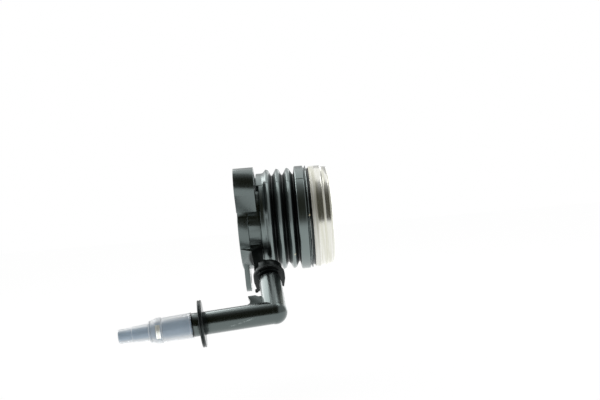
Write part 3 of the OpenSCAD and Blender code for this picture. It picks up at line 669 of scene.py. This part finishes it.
# %% Steels
BEARING_STEEL = turned_steel("bearing_steel", (0.56, 0.56, 0.53), (0.16, 0.28), 2200.0, 0.00002, TAPER_END_X)
BRIGHT_STEEL = turned_steel("bright_steel", (0.52, 0.52, 0.50), (0.20, 0.34), 1500.0, 0.00001)
SPRING_STEEL = turned_steel("spring_steel", (0.30, 0.31, 0.32), (0.30, 0.45), 1500.0, 0.00001)
WINDOW_STEEL = turned_steel("window_clip_steel", (0.86, 0.89, 0.90), (0.42, 0.55), 1500.0, 0.00001)
print("steels", [steel.name for steel in (BEARING_STEEL, BRIGHT_STEEL, SPRING_STEEL, WINDOW_STEEL)])


# %% [markdown]
# The connector and its plug are a clear blue-grey plastic with a frosted skin. Light passes through the
# wall and is scattered a little, so a rough transmission does it. A tube of it looks pale at its
# outlines, where the light runs along the wall, and that light is painted into the colour by that angle.

# %% Clear plastic
CLEAR_IOR = 1.45
PAINTED_RIM_LIGHT = (0.80, 0.83, 0.85)
EDGE_ANGLES = (0.05, 0.48)
CLOUD_SCALE = 160.0
CLOUD_PALER = 1.25
CLOUD_HEIGHT, CLOUD_STRENGTH = 0.00005, 0.3


def clear_plastic(name, colour, roughness, transmission):
    """Clouded plastic between a colour and a paler one, with painted light that makes it nearly white at its
    outlines.
    """
    material, tree, shader = start_material(name)
    cloud = noise(tree, CLOUD_SCALE, 3.0, 0.55)
    pale = tuple(min(1.0, c * CLOUD_PALER) for c in colour)
    edge = new_node(tree, "ShaderNodeLayerWeight")
    edge.inputs["Blend"].default_value = 0.5
    # rim is painted light: the base colour turns nearly white towards the outlines.
    rim_light = smooth_step(tree, edge.outputs["Facing"], *EDGE_ANGLES)
    body = mix_colours(tree, cloud, colour, pale)
    tree.links.new(mix_colours(tree, rim_light, body, PAINTED_RIM_LIGHT), shader.inputs["Base Color"])
    shader.inputs["Roughness"].default_value = roughness
    shader.inputs["Transmission Weight"].default_value = transmission
    shader.inputs["IOR"].default_value = CLEAR_IOR
    bump(tree, shader, cloud, CLOUD_HEIGHT, CLOUD_STRENGTH)
    return material


CLEAR = clear_plastic("frosted_clear", (0.38, 0.47, 0.56), 0.30, 0.25)
print("clear plastic", CLEAR.name)


# %% [markdown]
# Each CAD solid takes the finish of its slot in the record, so no solid is left plain. Two kinds of solid
# depart from their slot: the bar in the window, and the bushes, which are as dark as the spring.

# %% Finishes of the solids
FINISHES = {
    "housing_plastic": NYLON, "boot_rubber": BOOT, "seal_rubber": SEAL, "bearing_steel": BEARING_STEEL,
    "bright_steel": BRIGHT_STEEL, "spring_steel": SPRING_STEEL, "clear_plastic": CLEAR,
}


def dress(node, material):
    """Puts one finish on every material slot of a CAD node."""
    data = frame["nodes"][node].data
    data.materials.clear()
    data.materials.append(material)


for part in frame["record"]["subparts"]:
    dress(part["node"], FINISHES[part["material_slot"]])
dress("connector_clip", WINDOW_STEEL)
# The bushes take the darker spring steel as painted shade, where they sit in the shade of the lugs.
for k in (1, 2, 3):
    dress(f"mount_bush_{k}", SPRING_STEEL)


# %% [markdown]
# Most visible pieces are turned or moulded round an axis, so one idea serves them: a profile carried
# round a circle. The corners of each profile are rounded first, because every real edge catches a thin
# line of light. A corner becomes a small parabola, which needs only its two ends and the corner itself.

# %% Profiles with rounded corners
EDGE_STEPS = 4
LONGEST_CUT = 0.45


def rounded(points, cuts, closed=True):
    """Profile with rounded corners: each is swapped for a curve that leaves its two sides at the cut length.

    The curve is the parabola (1-u)^2 a + 2u(1-u) p + u^2 b, from point a to point b on the sides of corner p.
    """
    p = np.array(points, float)
    cut = np.broadcast_to(np.array(cuts, float), len(p)).copy()
    before, after = np.roll(p, 1, axis=0) - p, np.roll(p, -1, axis=0) - p
    len_before, len_after = np.linalg.norm(before, axis=1), np.linalg.norm(after, axis=1)
    cut = np.minimum(cut, LONGEST_CUT * np.minimum(len_before, len_after))
    if not closed:
        cut[[0, -1]] = 0.0
    a = p + before * (cut / len_before)[:, None]
    b = p + after * (cut / len_after)[:, None]
    u = np.linspace(0.0, 1.0, EDGE_STEPS + 1)[None, :, None]
    curve = (1 - u) ** 2 * a[:, None] + 2 * u * (1 - u) * p[:, None] + u ** 2 * b[:, None]
    keep = np.ones((len(p), EDGE_STEPS + 1), bool)
    keep[cut < 1e-9, 1:] = False
    return curve[keep]


print("a rounded corner has", EDGE_STEPS + 1, "points")


# %% [markdown]
# A surface is a grid of points, and its faces join each point to its neighbours along the rows and the
# columns. A revolve in numpy gives even rows of points at any fineness, where the solid's own mesh has
# long slivers. The way the profile runs decides which side of the faces is outside, so it is measured and
# turned if need be.

# %% Grids and revolved surfaces
TURN_STEPS = 256
# Origin, the direction along the shaft, and the directions across it at the start and after a quarter turn
SHAFT = (np.zeros(3), np.array([1.0, 0, 0]), np.array([0, -1.0, 0]), np.array([0, 0, 1.0]))


def add_mesh(name, vertices, faces, material, smooth_angle):
    """A mesh object from a list of points and of faces, smooth up to an angle in degrees."""
    mesh = bpy.data.meshes.new(name)
    mesh.from_pydata(vertices, [], faces)
    mesh.polygons.foreach_set("use_smooth", np.ones(len(mesh.polygons), bool))
    mesh.set_sharp_from_angle(angle=math.radians(smooth_angle))
    mesh.materials.append(material)
    mesh.update()
    piece = bpy.data.objects.new(name, mesh)
    scene.collection.objects.link(piece)
    return piece


def grid_faces(rows, columns, wrap_rows=True):
    """Quads between neighbours of a rows x columns grid: the columns close, and the rows where asked."""
    i, j = np.meshgrid(np.arange(rows if wrap_rows else rows - 1), np.arange(columns), indexing="ij")
    i1, j1 = (i + 1) % rows, (j + 1) % columns
    quads = np.stack([i * columns + j, i * columns + j1, i1 * columns + j1, i1 * columns + j], axis=-1)
    return quads.reshape(-1, 4).tolist()


def signed_area(profile):
    """Area inside a closed profile, positive where it runs anticlockwise."""
    x, y = profile[:, 0], profile[:, 1]
    return 0.5 * np.sum(x * np.roll(y, -1) - np.roll(x, -1) * y)


def revolve(name, profile, material, smooth_angle, angles=None, shift=None):
    """A closed profile of (radius, place) points in millimetres, carried round the shaft.

    A point is origin + place * axis + radius * (cos(a) side + sin(a) up). shift, where given, takes the
    arrays of radii, places and angles and returns changed radii and places, for a shape that isn't the same
    all round.
    """
    origin, axis, side, up = SHAFT
    if signed_area(profile) * np.dot(np.cross(up, axis), side) < 0:
        profile = profile[::-1]
    if angles is None:
        angles = np.arange(TURN_STEPS) * 2 * math.pi / TURN_STEPS
    r, x = (np.repeat(profile[:, k][:, None], len(angles), axis=1) for k in (0, 1))
    a = np.repeat(angles[None, :], len(profile), axis=0)
    if shift:
        r, x = shift(r, x, a)
    across = np.cos(a)[..., None] * side + np.sin(a)[..., None] * up
    points = origin + x[..., None] * axis + r[..., None] * across
    vertices = (points.reshape(-1, 3) * MM).tolist()
    return add_mesh(name, vertices, grid_faces(len(profile), len(angles)), material, smooth_angle)


print("a turn has", TURN_STEPS, "steps")


# %% [markdown]
# A new piece takes the place of the solid that it stands for: it moves with the same body. Its ends and its
# outer radius come from the box of that solid, so it fits in the frame.

# %% Standing in for the solids
def stand_for(piece, body, slot, *nodes):
    """The piece moves with the body and stands for the named CAD nodes, which are hidden. slot is not used.
    """
    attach(piece, body)
    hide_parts(*nodes)
    print(piece.name, len(piece.data.vertices), "points")


def reach(node):
    """Lowest and highest corner of a CAD node, in millimetres."""
    low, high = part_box(node)
    return np.array(low) / MM, np.array(high) / MM


print("boot reaches from and to", *reach("dust_boot"))


# %% [markdown]
# Moulded pieces that aren't round keep the shape of their solid, and only their edges change. The solid's
# loose triangles are joined, flat triangles become whole faces, and each sharp edge a small round one. No
# moulding tool cuts a perfectly sharp edge, and those small radii are what draws the part's outline in a
# photo.

# %% Softened copies of solids
JOIN_DISTANCE = 0.000002
FLAT_ANGLE = math.radians(0.6)
EDGE_ANGLE = math.radians(28.0)


def softened(node, name, material, edge_mm, segments=3, highlight_edge_finish=None):
    """A copy of a CAD node with joined faces and rounded edges, which may carry a painted highlight finish.
    """
    source = frame["nodes"][node]
    mesh = source.data.copy()
    mesh.transform(source.matrix_world)
    mesh.name = name
    work = bmesh.new()
    work.from_mesh(mesh)
    bmesh.ops.remove_doubles(work, verts=work.verts, dist=JOIN_DISTANCE)
    bmesh.ops.dissolve_limit(work, angle_limit=FLAT_ANGLE, verts=work.verts, edges=work.edges)
    bmesh.ops.recalc_face_normals(work, faces=work.faces)
    work.to_mesh(mesh)
    work.free()
    mesh.polygons.foreach_set("use_smooth", np.ones(len(mesh.polygons), bool))
    mesh.materials.clear()
    mesh.materials.append(material)
    piece = bpy.data.objects.new(name, mesh)
    scene.collection.objects.link(piece)
    edges = piece.modifiers.new("edges", "BEVEL")
    edges.width = edge_mm * MM
    edges.segments = segments
    edges.limit_method = "ANGLE"
    edges.angle_limit = EDGE_ANGLE
    edges.use_clamp_overlap = True
    edges.harden_normals = True
    # The second finish on the rounded edges is a painted highlight, lighter and glossier than the faces.
    if highlight_edge_finish:
        mesh.materials.append(highlight_edge_finish)
        edges.material = 1
    return piece


print("edges sharper than", round(math.degrees(EDGE_ANGLE)), "degrees are rounded")


# %% [markdown]
# The mouldings have edges of a fifth of a millimetre or a little less, and the thin plastic and rubber
# rings finer ones. The clip is a thin flat moulding that stands close to the camera, so its edges are the
# widest, with a lighter and glossier finish of their own as a painted highlight.

# %% Housing, inlet and rings
housing = softened("housing", "housing_moulding", NYLON, 0.2)
stand_for(housing, "base", "housing_plastic", "housing")
elbow = softened("inlet_elbow", "elbow_moulding", ELBOW, 0.2)
stand_for(elbow, "elbow", "housing_plastic", "inlet_elbow")
disc = softened("pipe_seal_disc", "pipe_disc", SEAL, 0.12)
stand_for(disc, "elbow", "seal_rubber", "pipe_seal_disc")
connector = softened("connector_body", "connector_shell", CLEAR, 0.15)
stand_for(connector, "elbow", "clear_plastic", "connector_body")
plug = softened("transport_plug", "line_plug", CLEAR, 0.15)
stand_for(plug, "plug", "clear_plastic", "transport_plug")
retainer = softened("bearing_retainer", "retainer_ring", NYLON, 0.08, segments=2)
stand_for(retainer, "piston", "housing_plastic", "bearing_retainer")
rear_seal = softened("bearing_rear_seal", "rear_seal", SEAL, 0.08, segments=2)
stand_for(rear_seal, "bearing_inner", "seal_rubber", "bearing_rear_seal")
clip = softened("inlet_clip", "port_clip", CLIP, 0.22, highlight_edge_finish=EDGE_HIGHLIGHT)
stand_for(clip, "base", "housing_plastic", "inlet_clip")


# %% [markdown]
# The release bearing's outer ring is turned steel: a taper, a land, a step down to a second land and a
# round nose. The nose presses on the fingers of the clutch, so it is the smoothest surface of the whole
# part. Its ends and its outer radius come from the box of the solid it stands for.

# %% Bearing outer ring
RING_LOW, RING_HIGH = reach("bearing_outer_ring")
RING_R = RING_HIGH[2]
RING_X0, RING_X1 = RING_LOW[0], RING_HIGH[0]
REAR_WALL, TAPER_RISE, TAPER_LEN = 2.0, 0.4, 3.1
LAND_LEN, STEP_LEN, STEP_LAND, STEP_DROP = 4.0, 1.1, 2.5, 0.9
OUTSIDE_CUTS = (0.2, 0.5, 1.2, 0.5, 0.4, 0.0)
NOSE_W, NOSE_STEPS = 5.6, 24
APEX_R = RING_R - NOSE_W
NOSE_IN_R, NOSE_DISH, NOSE_WALL = 21.0, 0.9, 1.5
DISH_EDGE_W, DISH_RISE, DISH_DROP = 0.5, 0.1, 0.3
BALL_ROW_X, BALL_ROW_R, RACE_R = 51.3, 25.99, 3.3
RACE_ANGLES, RACE_STEPS, RACE_REAR, RACE_LIP = (70.0, 140.0), 16, 2.7, 1.0


def bearing_profile():
    """Outline of the ring: straight lands, a quarter ellipse for the nose and an arc for the ball groove."""
    land_x = RING_X0 + TAPER_LEN
    nose_x = land_x + LAND_LEN + STEP_LEN + STEP_LAND
    step_r = RING_R - STEP_DROP
    outside = rounded([
        (RING_R - REAR_WALL, RING_X0), (RING_R - TAPER_RISE, RING_X0), (RING_R, land_x),
        (RING_R, land_x + LAND_LEN), (step_r, land_x + LAND_LEN + STEP_LEN), (step_r, nose_x),
    ], OUTSIDE_CUTS, closed=False)
    a = np.linspace(0.0, math.pi / 2, NOSE_STEPS)
    nose = np.c_[APEX_R + (step_r - APEX_R) * np.cos(a), nose_x + (RING_X1 - nose_x) * np.sin(a)]
    dish_x = RING_X1 - NOSE_DISH
    wall_x = RING_X1 - NOSE_WALL
    dish = [(NOSE_IN_R + DISH_EDGE_W, dish_x + DISH_RISE), (NOSE_IN_R, dish_x - DISH_DROP),
            (NOSE_IN_R, wall_x), (BALL_ROW_R - RACE_LIP, wall_x)]
    b = np.radians(np.linspace(*RACE_ANGLES, RACE_STEPS))
    groove = np.c_[BALL_ROW_R + RACE_R * np.sin(b), BALL_ROW_X + RACE_R * np.cos(b)]
    rear = [(RING_R - REAR_WALL, BALL_ROW_X - RACE_REAR)]
    return np.vstack([outside, nose, dish, groove, rear])


outer_ring = revolve("bearing_ring", bearing_profile(), BEARING_STEEL, smooth_angle=35.0)
stand_for(outer_ring, "bearing_outer", "bearing_steel", "bearing_outer_ring")


# %% [markdown]
# The dust boot is one rubber moulding: a collar clipped over the body, three folds and a collar on the
# carrier. Its outline is drawn once, from the rear lip forwards along the outside and back along the
# inside. Each fold is a short crest with a sloping shoulder towards the bearing, then a steep flank and a
# narrow root.

# %% Outline of the dust boot
BOOT_LOW, BOOT_HIGH = reach("dust_boot")
BOOT_COLLAR_R = BOOT_HIGH[2]
FOLD_DEPTH, FOLD_PITCH, FOLD_COUNT, BOOT_WALL = 4.2, 6.5, 3, 1.0
CREST_R = BOOT_COLLAR_R - 0.5
ROOT_R = CREST_R - FOLD_DEPTH
BODY_R = ROOT_R - BOOT_WALL + 0.2
BOOT_REAR_X, BOOT_END_X, FRONT_COLLAR_LEN = BOOT_LOW[0], BOOT_HIGH[0], 5.6
BOOT_FRONT_X = BOOT_END_X - FRONT_COLLAR_LEN
LAST_ROOT_GAP, LAST_FLANK_LEN = 1.1, 3.5
LAST_ROOT_X = BOOT_FRONT_X - LAST_ROOT_GAP
FIRST_CREST_X = LAST_ROOT_X - LAST_FLANK_LEN - (FOLD_COUNT - 1) * FOLD_PITCH
COLLAR_TAB, COLLAR_WALL, COLLAR_LEN = 1.6, 2.7, 3.7
FLARE_RISE, FLARE_LEN = 0.4, 1.0
LIP_GAP = 0.05
CREST_HALF, ROOT_HALF = 0.35, 0.35
FLANK_DROP, FLANK_LEN = 0.8, 1.4
FRONT_CHAMFER, FRONT_WALL = 0.4, 1.25
INNER_CREST_DROP, INNER_SLOPE_DROP, INNER_SLOPE_X = 1.4, 1.6, 0.5
INSIDE_CUT = 0.2


def boot_profile():
    """Outline of the boot at an angle below the seams, as (radius, place) points with rounded corners."""
    collar_r = BODY_R + COLLAR_WALL
    collar_x = BOOT_REAR_X + COLLAR_LEN
    lip_x = BOOT_REAR_X + COLLAR_TAB
    crests = FIRST_CREST_X + FOLD_PITCH * np.arange(FOLD_COUNT)
    roots = np.append(crests[:-1] + FOLD_PITCH / 2, LAST_ROOT_X)
    outside = [(BODY_R + LIP_GAP, lip_x), (collar_r, lip_x), (collar_r, collar_x),
               (collar_r + FLARE_RISE, collar_x + FLARE_LEN)]
    cuts = [0.1, 0.35, 0.8, 0.8]
    for crest, root in zip(crests, roots):
        outside += [(CREST_R, crest - CREST_HALF), (CREST_R - FLANK_DROP, crest + FLANK_LEN),
                    (ROOT_R, root - ROOT_HALF), (ROOT_R, root + ROOT_HALF)]
        cuts += [0.45, 0.6, 0.4, 0.4]
    outside += [(BOOT_COLLAR_R - FRONT_CHAMFER, BOOT_FRONT_X), (BOOT_COLLAR_R, BOOT_FRONT_X + FRONT_CHAMFER),
                (BOOT_COLLAR_R, BOOT_END_X - FRONT_CHAMFER), (BOOT_COLLAR_R - FRONT_CHAMFER, BOOT_END_X)]
    cuts += [0.3, 0.3, 0.3, 0.3]
    inside = [(BOOT_COLLAR_R - FRONT_WALL, BOOT_END_X),
              (BOOT_COLLAR_R - FRONT_WALL, BOOT_FRONT_X + FRONT_CHAMFER)]
    for crest, root in zip(crests[::-1], roots[::-1]):
        inside += [(ROOT_R - BOOT_WALL, root + ROOT_HALF), (ROOT_R - BOOT_WALL, root - ROOT_HALF),
                   (CREST_R - INNER_SLOPE_DROP, crest + INNER_SLOPE_X),
                   (CREST_R - INNER_CREST_DROP, crest - CREST_HALF)]
    inside += [(BODY_R + LIP_GAP, collar_x)]
    return rounded(outside + inside, cuts + [INSIDE_CUT] * len(inside))


print("boot outline", len(boot_profile()), "points")


# %% [markdown]
# The boot's mould leaves a fine seam along each side, and above the seams the rear collar reaches further
# back. So the profile changes with the angle: the lip slides back between the seams, and each seam is a
# narrow groove. The even steps round the boot are too wide for such a groove, and a fan of fine steps
# lies across each one.

# %% Seams of the dust boot
SEAM_ANGLE = math.radians(47.0)
SEAM_W, SEAM_DEPTH = 0.45, 0.16
TAB_EDGE_W = 0.15
LIP_W = 0.5
FAN_HALF, FAN_STEPS, FAN_GAP = 0.6, 25, 0.006


def seam_shape(r, x, a):
    """Slides the rear lip back by the tab between the seams, and sinks a narrow bell at each seam.

    a is 0 on the near side, where the seams' angle is measured up from level, and grows over the top.
    The bell is depth * exp(-(distance from the seam / half width)^2).
    """
    from_seam = CREST_R * np.minimum(np.abs(a - SEAM_ANGLE), np.abs(a - (math.pi - SEAM_ANGLE)))
    inside_tab = (a > SEAM_ANGLE) & (a < math.pi - SEAM_ANGLE)
    tab = np.where(inside_tab, np.clip(from_seam / TAB_EDGE_W, 0.0, 1.0), 0.0)
    lip = x < BOOT_REAR_X + COLLAR_TAB + LIP_W
    x = np.where(lip, x - COLLAR_TAB * tab, x)
    dip = SEAM_DEPTH * np.exp(-(from_seam / (SEAM_W / 2)) ** 2)
    outside = r > (BODY_R + CREST_R) / 2 - BOOT_WALL
    return np.where(outside, r - dip, r), x


def boot_angles():
    """Even steps round the boot, with a fan of fine steps at each seam."""
    even = np.arange(TURN_STEPS) * 2 * math.pi / TURN_STEPS
    fan = np.linspace(-FAN_HALF, FAN_HALF, FAN_STEPS) / CREST_R
    seams = np.concatenate([SEAM_ANGLE + fan, math.pi - SEAM_ANGLE + fan])
    nearest = np.min(np.abs(even[:, None] - seams[None, :]), axis=1)
    return np.sort(np.concatenate([even[nearest > FAN_GAP], seams]))


print("steps round the boot", len(boot_angles()))


# %% [markdown]
# Deep between the folds the rubber mirrors only more rubber, so each point carries how deep it lies, and the
# finish reads that and takes the gloss away as painted shade.

# %% Dust boot
# Where the painted shade between the folds begins below the crests, how deep it grows, and where it stops
# along the shaft.
FOLD_SHADE_FROM, FOLD_SHADE_LEN = 1.0, FOLD_DEPTH - 2.2
FOLD_SHADE_BEFORE, FOLD_SHADE_AFTER = 1.0, 0.6


def fold_depth(x, r):
    """0 on the crests and collars and 1 near the roots: how deep a point lies between the folds."""
    inside = (x > FIRST_CREST_X - FOLD_SHADE_BEFORE) & (x < LAST_ROOT_X + FOLD_SHADE_AFTER)
    return np.where(inside, np.clip((CREST_R - FOLD_SHADE_FROM - r) / FOLD_SHADE_LEN, 0.0, 1.0), 0.0)


boot = revolve("bellows", boot_profile(), BOOT, 50.0, boot_angles(), seam_shape)
places = np.empty(3 * len(boot.data.vertices))
boot.data.vertices.foreach_get("co", places)
places = places.reshape(-1, 3) / MM
depths = fold_depth(places[:, 0], np.hypot(places[:, 1], places[:, 2]))
# The finish reads this depth and takes the gloss away there, as painted shade between the folds.
attribute = boot.data.attributes.new("fold_depth", "FLOAT", "POINT")
attribute.data.foreach_set("value", depths.astype(np.float32))
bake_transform(boot)
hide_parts("dust_boot")
print("bellows", len(boot.data.vertices), "points")


# %% [markdown]
# The preload spring stands round the pressure cylinder, inside the boot, and keeps the bearing on the
# clutch. It has one dead turn at each end, where the wire lies nearly flat against its seat, and open
# turns between. It is a tube of round section carried along that helix.

# %% Preload spring
SPRING_LOW, SPRING_HIGH = reach("preload_spring")
WIRE_R, SPRING_TURNS, DEAD_GAP = 1.0, 5, 0.08
COIL_R = SPRING_HIGH[2] - WIRE_R
COIL_STEPS, WIRE_SIDES = 96, 14


def helix_place(t):
    """Place along the shaft after t turns: a slow rise over the first and last turn, an even one between."""
    start, end = SPRING_LOW[0] + WIRE_R, SPRING_HIGH[0] - WIRE_R
    dead = 2 * WIRE_R + DEAD_GAP
    live = (end - start - 2 * dead) / (SPRING_TURNS - 2)
    return np.where(t < 1, start + dead * t, np.where(
        t > SPRING_TURNS - 1, end - dead * (SPRING_TURNS - t), start + dead + live * (t - 1)))


def coil_points():
    """Points (x + w sin b, r cos a, r sin a) with r = R + w cos b, and the middle of each cut end."""
    t = np.linspace(0.0, SPRING_TURNS, SPRING_TURNS * COIL_STEPS + 1)
    b = np.arange(WIRE_SIDES) * 2 * math.pi / WIRE_SIDES
    a = 2 * math.pi * t[:, None]
    r = COIL_R + WIRE_R * np.cos(b)[None, :]
    x = helix_place(t)[:, None] + WIRE_R * np.sin(b)[None, :]
    points = np.stack([x, r * np.cos(a), r * np.sin(a)], axis=-1)
    ends = 2 * math.pi * t[[0, -1]]
    middles = np.c_[helix_place(t[[0, -1]]), COIL_R * np.cos(ends), COIL_R * np.sin(ends)]
    return points, middles


def coil_spring():
    """The helix as a closed mesh: quads along the wire, and a fan of triangles over each cut end."""
    points, middles = coil_points()
    rows = len(points)
    middle, last = rows * WIRE_SIDES, (rows - 1) * WIRE_SIDES
    ring = np.arange(WIRE_SIDES)
    following = (ring + 1) % WIRE_SIDES
    fans = np.vstack([np.c_[np.full(WIRE_SIDES, middle), following, ring],
                      np.c_[np.full(WIRE_SIDES, middle + 1), last + ring, last + following]])
    vertices = (np.vstack([points.reshape(-1, 3), middles]) * MM).tolist()
    faces = grid_faces(rows, WIRE_SIDES, wrap_rows=False) + fans.tolist()
    return add_mesh("coil_spring", vertices, faces, SPRING_STEEL, smooth_angle=50.0)


spring = coil_spring()
work = bmesh.new()
work.from_mesh(spring.data)
bmesh.ops.recalc_face_normals(work, faces=work.faces)
work.to_mesh(spring.data)
work.free()
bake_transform(spring)
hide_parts("preload_spring")
print("spring", len(spring.data.vertices), "points")
